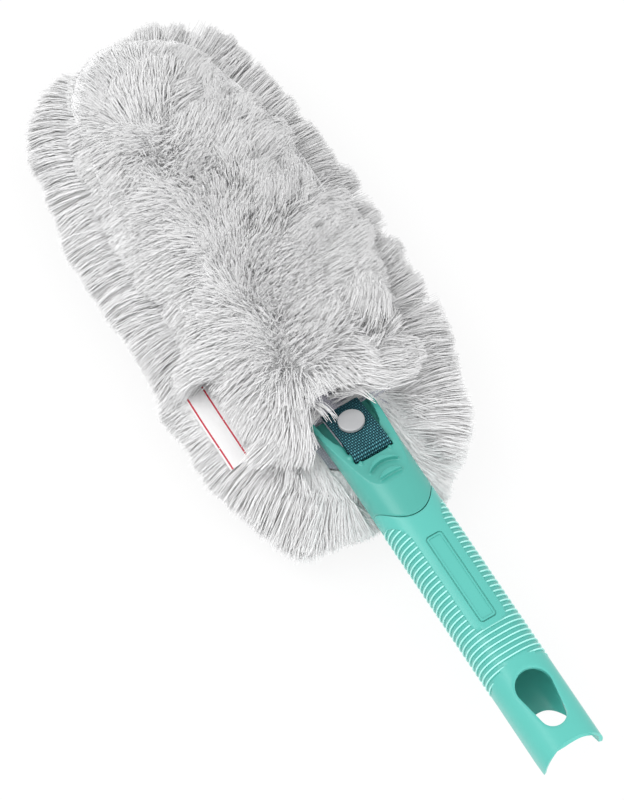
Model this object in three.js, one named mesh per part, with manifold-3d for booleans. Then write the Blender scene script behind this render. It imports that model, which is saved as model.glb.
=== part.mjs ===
// Microfiber duster: a slip-on pile cover over a paddle, held to a two-piece handle by a snap strap.
// Millimetres, +Z up. The duster lies on its back, strap upwards, with its handle along -Y.
// Lengths along the duster are measured from the end of the handle, and the group is centred last.
import * as THREE from 'three';
import { mergeVertices } from 'three/addons/utils/BufferGeometryUtils.js';
import Module from 'manifold-3d';

const wasm = await Module();
wasm.setup();

// Gap left between pieces that touch
const FIT = 0.3;

// Handle: grip and neck share one rounded section
const HANDLE_WIDTH = 31.4;
const HANDLE_DEPTH = 29;
const SECTION_POWER = 2.5;
const SECTION_POINTS = 36;
const GRIP_WALL = 2.6;
const HANDLE_RISE = 8.5;

// Open end of the grip, with its hanging hole in the front wall
const END_CUT_LENGTH = 33;
const HANG_HOLE_SETBACK = 9.2;
const HANG_HOLE_LENGTH = 30.4;
const HANG_HOLE_WIDTH = 17.8;
const HANG_HOLE_FOOT_WIDTH = 12.6;

// Ribs round the grip, and the smooth panel that interrupts them in front
const RIB_START = 45.5;
const RIB_PITCH = 2.82;
const RIB_COUNT = 32;
const RIB_DEPTH = 0.7;
const PANEL_START = 67.7;
const PANEL_WIDTH = 16;
const PANEL_FLARE = 18;
const FRAME_SETBACK = 3.8;
const FRAME_LENGTH = 46;
const FRAME_WIDTH = 7.3;
const FRAME_CORNER = 2;
const FRAME_LINE = 0.7;
const FRAME_DEPTH = 0.5;

// Curved seam where the neck plugs into the grip
const GRIP_LENGTH = 130;
const SEAM_RISE = 13;
const SEAM_POWER = 2.2;
const SPIGOT_LENGTH = 26;

// Neck: sloping thumb face, trough and strap bar
const NECK_LENGTH = 67;
const NECK_END_WIDTH = 34;
const NECK_END_DEPTH = 12;
const NECK_TAPER = 32;
const FACE_SETBACK = 19.5;
const CRESCENTS = [
  { setback: 10.4, span: 15.6, sagitta: 5.2 },
  { setback: 4.2, span: 11.8, sagitta: 3 },
];
const CRESCENT_WIDTH = 1.8;
const CRESCENT_HEIGHT = 0.7;
const CRESCENT_ROOT = 1;
const BAR_RADIUS = 2;
const BAR_RISE = 6.4;
const BAR_SETBACK = 25;
const STRAP_SIDE_GAP = 1;

// Webbing strap, looped round the bar, and the cover's tab that it snaps to
const WEBBING = 1.3;
const STRAP_WIDTH = 20;
const FLAP_LENGTH = 26.5;
const STRAP_TILT = THREE.MathUtils.degToRad(16);
const TAB_START = 7;
const TAB_END = 29;

// Ring snap
const SNAP_SETBACK = 10.5;
const CAP_RADIUS = 6.25;
const CAP_HEIGHT = 1.7;
const CAP_RIM = 0.6;
const SHANK_RADIUS = 1.2;
const SOCKET_RADIUS = 4.8;
const SOCKET_HEIGHT = 2.5;
const SOCKET_CAVITY = 1.4;
const STUD_BALL = 2.3;
const STUD_NECK = 1.9;
const STUD_HEIGHT = 1.4;
const FLANGE_RADIUS = 4.4;
const FLANGE = 0.5;

// Paddle inside the cover, narrow enough to pass the mouth of the side band
const PADDLE_THICKNESS = 3;
const TANG_THICKNESS = 2;
const TANG_WIDTH = 18;
const TANG_LENGTH = 20;
const BLADE_GAP = 3;
const BLADE_SIDE_GAP = 7;
const TANG_OVERLAP = 16;

// Cover: two fabric panels, a side band, the label and the pile
const FABRIC = 1.4;
const BAND = 1.2;
const HEAD_LENGTH = 297;
const HEAD_WIDTH = 142;
const HEAD_UNDERLAP = 53;
const HEAD_POWER = 2.6;
const PILE_LENGTH = 31;
const PILE_SIDE = 34;
const BACK_PILE = 28.5;
const FRONT_PILE = 29.5;
const PILE_POINTS = 44;
const BACK_INSET = 10;
const FRONT_INSET = 2;
const FRONT_LOBE = 20;
const CROWN_INSET = 37;
const CROWN_SETBACK = 22;
const CROWN_RISE = 5;
const CREST_Y = 300;
const CREST_FALL = 26;
const LUMP = 1.4;
const LUMP_COUNT = 9;
const LABEL_LENGTH = 44;
const LABEL_WIDTH = 21;
const LABEL_THICKNESS = 0.6;
const LABEL_SETBACK = 5.6;
const LABEL_TILT = THREE.MathUtils.degToRad(8);

// A length longer than the duster, for cutters that pass right through
const FAR = 500;

// Heights, stacked up from the floor
const backFabricZ = BACK_PILE + FIT;
const paddleZ = backFabricZ + FABRIC + FIT;
const frontFabricZ = paddleZ + PADDLE_THICKNESS + FIT;
const frontPileZ = frontFabricZ + FABRIC + FIT;
const handleZ = paddleZ + TANG_THICKNESS / 2 + HANDLE_RISE;
const handleTopZ = handleZ + HANDLE_DEPTH / 2;
const barZ = handleZ + BAR_RISE;

// Lengths, measured from the end of the handle
const neckEnd = GRIP_LENGTH + NECK_LENGTH;
const barY = neckEnd - BAR_SETBACK;
const headNear = neckEnd - HEAD_UNDERLAP;
const headFar = headNear + HEAD_LENGTH;
const fabricNear = headNear + PILE_LENGTH;
const fabricFar = headFar - PILE_LENGTH;
const fabricHalf = HEAD_WIDTH / 2 - PILE_SIDE;
const mouthY = neckEnd + 2 * FIT;
const ribEnd = RIB_START + RIB_COUNT * RIB_PITCH;

// Strap frame: origin on the bar, y along the strap, z out of its face
const loopInner = BAR_RADIUS + FIT;
const loopOuter = loopInner + WEBBING;
const socketTop = loopInner - FIT;
const socketFoot = socketTop - SOCKET_HEIGHT;
const studFoot = socketFoot - FIT - FLANGE;
const tabTop = studFoot - FIT;
const tabFoot = tabTop - WEBBING;
const postFoot = tabFoot - FIT - FLANGE;
const troughFloor = postFoot - FIT;
const snapY = FLAP_LENGTH - SNAP_SETBACK;
const pinHole = SHANK_RADIUS + FIT;
const strapFrame = new THREE.Matrix4()
  .makeRotationX(-STRAP_TILT)
  .setPosition(0, barY, barZ);

// Solids
function toSolid(geometry) {
  const bare = new THREE.BufferGeometry().setAttribute('position', geometry.getAttribute('position').clone());
  bare.setIndex(geometry.index);
  const merged = mergeVertices(bare, 1e-4);
  const corners = merged.index.array;
  const kept = [];
  for (let i = 0; i < corners.length; i += 3) {
    const [a, b, c] = corners.slice(i, i + 3);
    if (a !== b && b !== c && c !== a) kept.push(a, b, c);
  }
  return new wasm.Manifold(new wasm.Mesh({
    numProp: 3,
    vertProperties: merged.getAttribute('position').array,
    triVerts: new Uint32Array(kept),
  }));
}

function toGeometry(solid) {
  const mesh = solid.getMesh();
  const geometry = new THREE.BufferGeometry();
  geometry.setAttribute('position', new THREE.BufferAttribute(mesh.vertProperties, 3));
  geometry.setIndex(new THREE.BufferAttribute(mesh.triVerts, 1));
  geometry.computeVertexNormals();
  return geometry;
}

// Skin over rings of equal count. Each end closes on its ring's middle
function loft(rings) {
  const count = rings[0].length;
  const points = rings.flat();
  const faces = [];
  for (let i = 0; i + 1 < rings.length; i++) {
    for (let j = 0; j < count; j++) {
      const a = i * count + j;
      const b = i * count + (j + 1) % count;
      faces.push(a, a + count, b, b, a + count, b + count);
    }
  }
  const closeEnd = (ring, first, flip) => {
    const middle = new THREE.Vector3();
    ring.forEach((p) => middle.addScaledVector(p, 1 / count));
    points.push(middle);
    for (let j = 0; j < count; j++) {
      const pair = [first + j, first + (j + 1) % count];
      if (flip) pair.reverse();
      faces.push(points.length - 1, ...pair);
    }
  };
  closeEnd(rings[0], 0, false);
  closeEnd(rings[rings.length - 1], (rings.length - 1) * count, true);
  return toSolid(new THREE.BufferGeometry().setFromPoints(points).setIndex(faces));
}

// Plan outline (x, y) drawn up from one height to another
function plan(shape, fromZ, toZ, curveSegments = 12) {
  const depth = toZ - fromZ;
  const geometry = new THREE.ExtrudeGeometry(shape, { depth, bevelEnabled: false, curveSegments });
  return toSolid(geometry.translate(0, 0, fromZ));
}

// Side outline (y, z) drawn across the width, centred on x = 0
function side(shape, width, curveSegments = 12) {
  const geometry = new THREE.ExtrudeGeometry(shape, { depth: width, bevelEnabled: false, curveSegments });
  geometry.translate(0, 0, -width / 2);
  const axes = new THREE.Matrix4().makeBasis(
    new THREE.Vector3(0, 1, 0),
    new THREE.Vector3(0, 0, 1),
    new THREE.Vector3(1, 0, 0),
  );
  return toSolid(geometry.applyMatrix4(axes));
}

function block(width, fromY, toY, fromZ, toZ) {
  const geometry = new THREE.BoxGeometry(width, toY - fromY, toZ - fromZ);
  return toSolid(geometry.translate(0, (fromY + toY) / 2, (fromZ + toZ) / 2));
}

function polygon(points) {
  return new THREE.Shape(points.map(([x, y]) => new THREE.Vector2(x, y)));
}

function placed(solid, matrix) {
  return toSolid(toGeometry(solid).applyMatrix4(matrix));
}

// Turned piece of the snap, on the strap frame's own z axis
function turned(profile) {
  const points = profile.map(([r, z]) => new THREE.Vector2(r, z));
  const geometry = new THREE.LatheGeometry(points, 20);
  geometry.rotateX(Math.PI / 2);
  return placed(toSolid(geometry.translate(0, snapY, 0)), strapFrame);
}

// Outlines
function superellipse(power, angle) {
  const part = (v) => Math.sign(v) * Math.abs(v) ** (2 / power);
  return [part(Math.cos(angle)), part(Math.sin(angle))];
}

function around(count, make) {
  return Array.from({ length: count }, (_, j) => make((2 * Math.PI * j) / count));
}

function ovalShape(halfWidth, near, far) {
  const halfLength = (far - near) / 2;
  return polygon(around(64, (angle) => {
    const [x, y] = superellipse(HEAD_POWER, angle);
    return [x * halfWidth, near + halfLength + y * halfLength];
  }));
}

function roundedShape(width, fromY, toY, corner) {
  const half = width / 2;
  const shape = new THREE.Shape();
  shape.absarc(half - corner, toY - corner, corner, 0, Math.PI / 2);
  shape.absarc(corner - half, toY - corner, corner, Math.PI / 2, Math.PI);
  shape.absarc(corner - half, fromY + corner, corner, Math.PI, 1.5 * Math.PI);
  shape.absarc(half - corner, fromY + corner, corner, 1.5 * Math.PI, 2 * Math.PI);
  return shape;
}

// Handle
function handleRing(y, halfWidth, topDepth, footDepth, groove = () => 0) {
  return around(SECTION_POINTS, (angle) => {
    const [x, z] = superellipse(SECTION_POWER, angle);
    const depth = z > 0 ? topDepth : footDepth;
    const cut = groove(x * halfWidth, z);
    return new THREE.Vector3(x * (halfWidth - cut), y, handleZ + z * (depth - cut));
  });
}

// A groove between ribs stays clear of the smooth panel, which flares towards the neck
function ribGroove(y) {
  return (x, z) => {
    const flare = Math.max(0, y - (ribEnd - PANEL_FLARE)) / PANEL_FLARE;
    const panelHalf = PANEL_WIDTH / 2 + flare ** 2 * (HANDLE_WIDTH - PANEL_WIDTH) / 2;
    const onPanel = z > 0 && y > PANEL_START && Math.abs(x) < panelHalf;
    return onPanel ? 0 : RIB_DEPTH;
  };
}

function plainTube(fromY, toY, inset) {
  const ring = (y) => handleRing(y, HANDLE_WIDTH / 2 - inset, HANDLE_DEPTH / 2 - inset, HANDLE_DEPTH / 2 - inset);
  return loft([ring(fromY), ring(toY)]);
}

// Everything on the head's side of the seam, whose tongue points at the handle's end in front
function beyondSeam(gap) {
  const half = HANDLE_WIDTH;
  const steps = 32;
  const curve = Array.from({ length: steps + 1 }, (_, i) => {
    const x = (i / steps - 0.5) * 2 * half;
    const across = Math.min(1, Math.abs(x) / (HANDLE_WIDTH / 2));
    return [x, GRIP_LENGTH + gap + SEAM_RISE * across ** SEAM_POWER];
  });
  return plan(polygon([...curve, [half, FAR], [-half, FAR]]), 0, 2 * handleTopZ);
}

function hangHole() {
  const far = HANG_HOLE_SETBACK + HANG_HOLE_LENGTH;
  const crown = HANG_HOLE_WIDTH / 2;
  const foot = HANG_HOLE_FOOT_WIDTH / 2;
  const lean = Math.asin((crown - foot) / (HANG_HOLE_LENGTH - crown - foot));
  const shape = new THREE.Shape();
  shape.absarc(0, far - crown, crown, -lean, Math.PI + lean);
  shape.absarc(0, HANG_HOLE_SETBACK + foot, foot, Math.PI + lean, 2 * Math.PI - lean);
  return plan(shape, handleZ, 2 * handleTopZ);
}

function panelFrame() {
  const near = PANEL_START + FRAME_SETBACK;
  const far = near + FRAME_LENGTH;
  const outer = roundedShape(FRAME_WIDTH, near, far, FRAME_CORNER);
  const inner = roundedShape(
    FRAME_WIDTH - 2 * FRAME_LINE,
    near + FRAME_LINE,
    far - FRAME_LINE,
    FRAME_CORNER - FRAME_LINE,
  );
  outer.holes.push(inner);
  return plan(outer, handleTopZ - FRAME_DEPTH, 2 * handleTopZ, 4);
}

function makeGrip() {
  const half = HANDLE_WIDTH / 2;
  const depth = HANDLE_DEPTH / 2;
  const rings = [handleRing(0, half, depth, depth)];
  for (let i = 0; i < RIB_COUNT; i++) {
    const y = RIB_START + i * RIB_PITCH;
    rings.push(handleRing(y, half, depth, depth));
    rings.push(handleRing(y + RIB_PITCH / 2, half, depth, depth, ribGroove(y)));
  }
  rings.push(handleRing(ribEnd, half, depth, depth));
  rings.push(handleRing(GRIP_LENGTH + 2 * SEAM_RISE, half, depth, depth));
  const slantedEnd = side(polygon([[-FAR, -FAR], [0, handleZ], [END_CUT_LENGTH, handleZ - depth], [FAR, -FAR]]), FAR);
  return loft(rings)
    .subtract(plainTube(-FAR, FAR, GRIP_WALL))
    .subtract(slantedEnd)
    .subtract(hangHole())
    .subtract(panelFrame())
    .subtract(beyondSeam(0));
}

// Underside of the neck, which rises towards the head
function neckFoot(y) {
  const taper = THREE.MathUtils.clamp((y - neckEnd + NECK_TAPER) / NECK_TAPER, 0, 1);
  return handleZ - THREE.MathUtils.lerp(HANDLE_DEPTH / 2, NECK_END_DEPTH, taper);
}

// Sloping thumb face of the neck, parallel to the strap, from the handle's top down to the neck's end
const faceStart = GRIP_LENGTH + FACE_SETBACK;
const faceFrame = new THREE.Matrix4()
  .makeRotationX(-STRAP_TILT)
  .setPosition(0, faceStart, handleTopZ);

// Raised crescent on the face, bowed towards the head
function crescent({ setback, span, sagitta }) {
  const bow = new THREE.Shape();
  bow.moveTo(-span / 2, setback);
  bow.quadraticCurveTo(0, setback + 2 * sagitta, span / 2, setback);
  bow.quadraticCurveTo(0, setback + 2 * (sagitta - CRESCENT_WIDTH), -span / 2, setback);
  return placed(plan(bow, -CRESCENT_ROOT, CRESCENT_HEIGHT, 8), faceFrame);
}

function crossBar(radius, width) {
  const geometry = new THREE.CylinderGeometry(radius, radius, width, 20);
  return toSolid(geometry.rotateZ(Math.PI / 2).translate(0, barY, barZ));
}

function makeNeck() {
  const body = [
    [GRIP_LENGTH, HANDLE_WIDTH],
    [GRIP_LENGTH + SEAM_RISE, HANDLE_WIDTH],
    [faceStart, HANDLE_WIDTH],
    [neckEnd - NECK_TAPER, HANDLE_WIDTH],
    [neckEnd - NECK_TAPER / 2, (HANDLE_WIDTH + NECK_END_WIDTH) / 2],
    [neckEnd, NECK_END_WIDTH],
  ].map(([y, width]) => handleRing(y, width / 2, HANDLE_DEPTH / 2, handleZ - neckFoot(y)));
  const troughWidth = STRAP_WIDTH + 2 * STRAP_SIDE_GAP;
  const trough = placed(block(troughWidth, 0, FAR, troughFloor, FAR), strapFrame);
  const tangSlot = block(
    TANG_WIDTH + 2 * FIT,
    neckEnd - TANG_LENGTH - FIT,
    FAR,
    paddleZ - FIT,
    paddleZ + TANG_THICKNESS + FIT,
  );
  const spigot = plainTube(GRIP_LENGTH - SPIGOT_LENGTH, faceStart, GRIP_WALL + FIT);
  const aboveFace = placed(block(FAR, 0, FAR, 0, FAR), faceFrame);
  let neck = loft(body).intersect(beyondSeam(FIT)).subtract(aboveFace);
  CRESCENTS.forEach((size) => {
    neck = neck.add(crescent(size));
  });
  return neck
    .add(spigot)
    .subtract(crossBar(loopOuter + STRAP_SIDE_GAP, troughWidth))
    .subtract(trough)
    .add(crossBar(BAR_RADIUS, troughWidth + 2 * STRAP_SIDE_GAP))
    .subtract(tangSlot);
}

// Strap and snap
function makeStrap() {
  const profile = new THREE.Shape();
  profile.moveTo(FLAP_LENGTH, loopInner);
  profile.lineTo(FLAP_LENGTH, loopOuter);
  profile.lineTo(0, loopOuter);
  profile.absarc(0, 0, loopOuter, Math.PI / 2, 2 * Math.PI, false);
  profile.lineTo(loopOuter, loopInner);
  const eye = new THREE.Path();
  eye.absarc(0, 0, loopInner, 0, 2 * Math.PI, false);
  profile.holes.push(eye);
  const hole = new THREE.CylinderGeometry(pinHole, pinHole, FAR, 20);
  hole.rotateX(Math.PI / 2).translate(0, snapY, 0);
  return placed(side(profile, STRAP_WIDTH).subtract(toSolid(hole)), strapFrame);
}

function makeTab() {
  const hole = new THREE.CylinderGeometry(pinHole, pinHole, FAR, 20);
  hole.rotateX(Math.PI / 2).translate(0, snapY, 0);
  const strip = block(STRAP_WIDTH, TAB_START, TAB_END, tabFoot, tabTop);
  return placed(strip.subtract(toSolid(hole)), strapFrame);
}

function makeCap() {
  const foot = loopOuter + FIT;
  const shankFoot = socketFoot + SOCKET_CAVITY + FIT;
  const crown = [1, 0.85, 0.6, 0.3].map((share) => {
    const rise = CAP_RIM + (CAP_HEIGHT - CAP_RIM) * Math.sqrt(1 - share ** 2);
    return [CAP_RADIUS * share, foot + rise];
  });
  return turned([
    [0, shankFoot],
    [SHANK_RADIUS, shankFoot],
    [SHANK_RADIUS, foot],
    [CAP_RADIUS, foot],
    ...crown,
    [0, foot + CAP_HEIGHT],
  ]);
}

function makeSocket() {
  const cavityTop = socketFoot + SOCKET_CAVITY;
  const mouth = STUD_BALL + FIT;
  return turned([
    [mouth, socketFoot],
    [SOCKET_RADIUS, socketFoot],
    [SOCKET_RADIUS, socketTop],
    [pinHole, socketTop],
    [pinHole, cavityTop],
    [mouth, cavityTop],
    [mouth, socketFoot],
  ]);
}

function makeStud() {
  const flangeTop = studFoot + FLANGE;
  const top = flangeTop + STUD_HEIGHT;
  return turned([
    [pinHole, studFoot],
    [FLANGE_RADIUS, studFoot],
    [FLANGE_RADIUS, flangeTop],
    [STUD_NECK, flangeTop],
    [STUD_BALL, (flangeTop + top) / 2],
    [STUD_NECK, top],
    [0, top],
    [0, top - FLANGE],
    [pinHole, top - FLANGE],
    [pinHole, studFoot],
  ]);
}

function makePost() {
  const flangeTop = postFoot + FLANGE;
  const tip = studFoot + STUD_HEIGHT - FIT;
  return turned([
    [0, postFoot],
    [FLANGE_RADIUS, postFoot],
    [FLANGE_RADIUS, flangeTop],
    [SHANK_RADIUS, flangeTop],
    [SHANK_RADIUS, tip],
    [0, tip],
  ]);
}

// Paddle: a flat blade with a thinner tang in the neck
function makePaddle() {
  const half = fabricHalf - BLADE_SIDE_GAP;
  const near = neckEnd + 2 * BLADE_GAP;
  const far = fabricFar - BLADE_GAP;
  const blade = ovalShape(half, near, far);
  const tang = block(
    TANG_WIDTH,
    neckEnd - TANG_LENGTH,
    near + TANG_OVERLAP,
    paddleZ,
    paddleZ + TANG_THICKNESS,
  );
  return plan(blade, paddleZ, paddleZ + PADDLE_THICKNESS).add(tang);
}

// Cover
const fabricOval = (grow) => ovalShape(fabricHalf + grow, fabricNear - grow, fabricFar + grow);

// Top of the back panel, which drops to pass under the neck
function backFabricTop(y) {
  const level = backFabricZ + FABRIC;
  return y > neckEnd + PILE_LENGTH / 2 ? level : Math.min(level, neckFoot(y) - FIT);
}

// Everything above the back panel, from a given drop under its top
function aboveBackPanel(drop) {
  const stops = [headNear - PILE_LENGTH, neckEnd - NECK_TAPER, neckEnd, neckEnd + PILE_LENGTH / 2];
  const line = stops.map((y) => [y, backFabricTop(y) - drop]);
  const level = backFabricZ + FABRIC - drop;
  const after = neckEnd + PILE_LENGTH / 2 + FIT;
  return side(polygon([[stops[0], FAR], ...line, [after, level], [FAR, level], [FAR, FAR]]), FAR);
}

function makeBackPanel() {
  const sheet = plan(fabricOval(0), 0, FAR);
  return sheet.intersect(aboveBackPanel(FABRIC)).subtract(aboveBackPanel(0));
}

function makeFrontPanel() {
  const sheet = plan(fabricOval(0), frontFabricZ, frontFabricZ + FABRIC);
  return sheet.subtract(block(FAR, -FAR, mouthY, 0, FAR));
}

function makeSideBand() {
  const ring = fabricOval(FIT + BAND);
  ring.holes.push(fabricOval(FIT));
  const bothPanels = neckEnd + PILE_LENGTH / 2 + BAND;
  return plan(ring, backFabricZ, frontFabricZ + FABRIC).subtract(block(FAR, -FAR, bothPanels, 0, FAR));
}

// Pile row: rings of (inset, height) from the top down, gently lobed like the real tufts
function pileRow({ halfWidth, near, far }, levels, grow = 0) {
  const halfLength = (far - near) / 2;
  return loft(levels.map(([inset, z]) => around(PILE_POINTS, (angle) => {
    const [x, y] = superellipse(HEAD_POWER, angle);
    const lobe = LUMP * Math.sin(LUMP_COUNT * angle) - LUMP + grow - inset;
    return new THREE.Vector3(x * (halfWidth + lobe), near + halfLength + y * (halfLength + lobe), z);
  })));
}

const neckChannel = (() => {
  const width = Math.max(HANDLE_WIDTH, NECK_END_WIDTH) + 2 * STRAP_SIDE_GAP;
  const stops = [0, neckEnd - NECK_TAPER, mouthY];
  const foot = stops.map((y) => [y, neckFoot(y) - FIT]);
  return side(polygon([[0, FAR], ...foot, [mouthY, FAR]]), width);
})();

// Room over the back panel for the paddle, which leaves through the cover's mouth
const paddleWay = block(2 * fabricHalf, -FAR, neckEnd + PILE_LENGTH / 2, 0, FAR).intersect(aboveBackPanel(0));

// The label's sewn edge is straight, so it meets the curved side band at its far end
const labelRoot = (() => {
  const half = fabricHalf + FIT + BAND;
  const halfLength = (fabricFar - fabricNear) / 2 + FIT + BAND;
  const along = ((fabricNear + fabricFar) / 2 - neckEnd - LABEL_SETBACK - LABEL_LENGTH) / halfLength;
  return half * (1 - along ** HEAD_POWER) ** (1 / HEAD_POWER) + FIT;
})();
const labelFrame = new THREE.Matrix4()
  .makeRotationY(-LABEL_TILT)
  .setPosition(-labelRoot, neckEnd + LABEL_SETBACK, frontFabricZ + FABRIC - LABEL_THICKNESS);

function labelSheet(grow) {
  const geometry = new THREE.BoxGeometry(LABEL_WIDTH + 2 * grow, LABEL_LENGTH + 2 * grow, LABEL_THICKNESS + 2 * grow);
  geometry.translate(-LABEL_WIDTH / 2, LABEL_LENGTH / 2, 0);
  return toSolid(geometry.applyMatrix4(labelFrame));
}

const headOval = { halfWidth: HEAD_WIDTH / 2, near: headNear, far: headFar };
const insetOval = (inset, near) => ({ halfWidth: HEAD_WIDTH / 2 - inset, near, far: headFar - inset });
const crownOval = insetOval(CROWN_INSET, neckEnd + CROWN_SETBACK);
const frontTop = frontPileZ + FRONT_PILE - CROWN_RISE;

// The pile is highest over the middle of the cover and falls away towards both ends
const underCrest = (() => {
  const top = frontPileZ + FRONT_PILE;
  const reach = headFar - CREST_Y;
  const arc = [];
  for (let step = -9; step <= 8; step += 1) {
    const along = step / 8;
    arc.push([CREST_Y + along * reach, top - CREST_FALL * along * along]);
  }
  return side(polygon([[arc[0][0], 0], ...arc, [headFar, 0]]), FAR);
})();

function backRow(grow) {
  const oval = insetOval(BACK_INSET, headNear + BACK_INSET);
  const root = PILE_LENGTH - BACK_INSET;
  return pileRow(oval, [
    [root + BACK_INSET, BACK_PILE + grow],
    [root, BACK_PILE + grow],
    [root / 3, 0.8 * BACK_PILE + grow],
    [0, 0.5 * BACK_PILE],
    [root / 4, 0.2 * BACK_PILE],
    [root, 0],
  ], grow);
}

function makeBackPile() {
  return backRow(0).subtract(aboveBackPanel(FABRIC + FIT));
}

function makeEdgePile() {
  const root = PILE_SIDE - BAND - 2 * FIT;
  const row = pileRow(headOval, [
    [root, 1.17 * BACK_PILE],
    [0.5 * root, 1.09 * BACK_PILE],
    [0.15 * root, 0.97 * BACK_PILE],
    [0, 0.82 * BACK_PILE],
    [0.15 * root, 0.5 * BACK_PILE],
    [0.5 * root, 0.33 * BACK_PILE],
    [root, 0.28 * BACK_PILE],
  ]);
  return row
    .subtract(plan(fabricOval(BAND + 2 * FIT), 0, FAR))
    .subtract(backRow(FIT))
    .subtract(neckChannel)
    .subtract(paddleWay)
    .subtract(labelSheet(FIT));
}

function crownRow(grow) {
  const root = PILE_LENGTH / 3;
  const top = frontPileZ + FRONT_PILE + grow;
  return pileRow(crownOval, [
    [2 * root, top],
    [0.6 * root, top - 0.3 * CROWN_RISE],
    [0, top - CROWN_RISE],
    [0.4 * root, top - 2 * CROWN_RISE],
    [root, frontPileZ - grow],
  ], grow);
}

function makeFrontPile() {
  const root = PILE_SIDE - FRONT_INSET;
  const tabRoom = placed(
    block(STRAP_WIDTH + 4 * FIT, 0, TAB_END + 2 * FIT, -FLAP_LENGTH, FLAP_LENGTH),
    strapFrame,
  );
  const labelGap = placed(
    block(LABEL_WIDTH, -2 * FIT, LABEL_LENGTH + 2 * FIT, -FIT, FRONT_PILE),
    labelFrame.clone().multiply(new THREE.Matrix4().makeTranslation(-LABEL_WIDTH, 0, 0)),
  );
  const row = pileRow(insetOval(FRONT_INSET, neckEnd - FRONT_LOBE), [
    [1.45 * root, frontTop + 0.3 * CROWN_RISE],
    [root, frontTop],
    [0.7 * root, 0.9 * frontTop + 0.1 * frontPileZ],
    [0.35 * root, 0.72 * frontTop + 0.28 * frontPileZ],
    [0.08 * root, 0.5 * frontTop + 0.5 * frontPileZ],
    [0, 0.28 * frontTop + 0.72 * frontPileZ],
    [0.15 * root, 0.08 * frontTop + 0.92 * frontPileZ],
    [root, frontPileZ],
  ]);
  return row.intersect(underCrest).subtract(crownRow(FIT)).subtract(neckChannel).subtract(tabRoom).subtract(labelGap);
}

// Scene
const duster = new THREE.Group();

function addPiece(name, solid, color, roughness, metalness = 0) {
  const material = new THREE.MeshStandardMaterial({ color, roughness, metalness });
  const mesh = new THREE.Mesh(toGeometry(solid), material);
  mesh.name = name;
  duster.add(mesh);
}

const MINT = 0x6fc7bd;
const TEAL = 0x39696f;
const STEEL = 0xc4c6c6;
const PILE_WHITE = 0xe8e8ea;
const BASE_FABRIC = 0xcfcbdc;

addPiece('grip', makeGrip(), MINT, 0.45);
addPiece('neck', makeNeck(), MINT, 0.45);
addPiece('paddle', makePaddle(), 0xe6e6e2, 0.5);
addPiece('strap', makeStrap(), TEAL, 0.85);
addPiece('snap_cap', makeCap(), STEEL, 0.3, 0.6);
addPiece('snap_socket', makeSocket(), STEEL, 0.3, 1);
addPiece('snap_stud', makeStud(), STEEL, 0.3, 1);
addPiece('snap_post', makePost(), STEEL, 0.3, 1);
addPiece('cover_tab', makeTab(), BASE_FABRIC, 0.9);
addPiece('cover_front_panel', makeFrontPanel(), BASE_FABRIC, 0.9);
addPiece('cover_back_panel', makeBackPanel(), BASE_FABRIC, 0.9);
addPiece('cover_side_band', makeSideBand(), BASE_FABRIC, 0.9);
addPiece('side_label', labelSheet(0), 0xf4f2f0, 0.6);
addPiece('edge_pile', makeEdgePile(), PILE_WHITE, 0.95);
addPiece('back_pile', makeBackPile(), PILE_WHITE, 0.95);
addPiece('front_pile', makeFrontPile(), PILE_WHITE, 0.95);
addPiece('crown_pile', crownRow(0).intersect(underCrest), PILE_WHITE, 0.95);

// Origin under the middle of the duster's length
const bounds = new THREE.Box3().setFromObject(duster);
duster.position.y = -(bounds.min.y + bounds.max.y) / 2;

export default duster;
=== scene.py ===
import math
from collections import Counter
import bpy
import numpy as np
from mathutils import Matrix, Vector
from mathutils.kdtree import KDTree


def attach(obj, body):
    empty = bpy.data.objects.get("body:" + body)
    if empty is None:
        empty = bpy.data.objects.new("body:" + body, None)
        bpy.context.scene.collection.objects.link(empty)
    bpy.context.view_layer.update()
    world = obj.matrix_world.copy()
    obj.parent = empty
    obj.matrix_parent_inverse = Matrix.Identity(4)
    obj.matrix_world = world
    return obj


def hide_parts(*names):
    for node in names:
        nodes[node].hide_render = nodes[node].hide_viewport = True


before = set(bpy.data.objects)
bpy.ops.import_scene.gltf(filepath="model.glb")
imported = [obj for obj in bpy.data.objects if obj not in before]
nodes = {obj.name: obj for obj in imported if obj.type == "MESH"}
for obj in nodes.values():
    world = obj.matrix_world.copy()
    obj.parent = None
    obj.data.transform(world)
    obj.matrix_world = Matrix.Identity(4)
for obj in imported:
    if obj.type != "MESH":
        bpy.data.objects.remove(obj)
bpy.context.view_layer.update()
scene = bpy.context.scene
print("frame loaded:", len(nodes), "nodes")

# Lengths are millimetres, measured along the duster from the end of the handle, as in the CAD part
midLength = 220.5
barY, barZ = 172.0, 46.4
strapTilt = math.radians(16)
handleZ, handleTop = 40.0, 54.5
faceStart = 149.5  # where the neck's sloping thumb face leaves the handle's top


def toFrame(points):
    placed = np.array(points, float)
    placed[..., 1] -= midLength
    return placed * 0.001


def spot(x, y, z):
    return Vector(toFrame((x, y, z)))


def slantSpot(y, z):  # the thumb face is parallel to the strap
    c, s = math.cos(strapTilt), math.sin(strapTilt)
    return lambda x, along, out: spot(x, y + along * c + out * s, z - along * s + out * c)


strapSpot = slantSpot(barY, barZ)
faceSpot = slantSpot(faceStart, handleTop)


def faceHeight(y):
    return handleTop - np.maximum(0, y - faceStart) * math.tan(strapTilt)


def smooth(low, high, value):
    t = np.clip((value - low) / (high - low), 0, 1)
    return t * t * (3 - 2 * t)


def bring(name, data):
    piece = bpy.data.objects.new(name, data)
    scene.collection.objects.link(piece)
    return piece


# Camera at the photograph's viewing angle
camSet = dict(azimuth=-31.4, elevation=65.4, aim=(0.0, -0.0145, 0.038), slide=0.0095, distance=1.6, lens=151.3)


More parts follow.
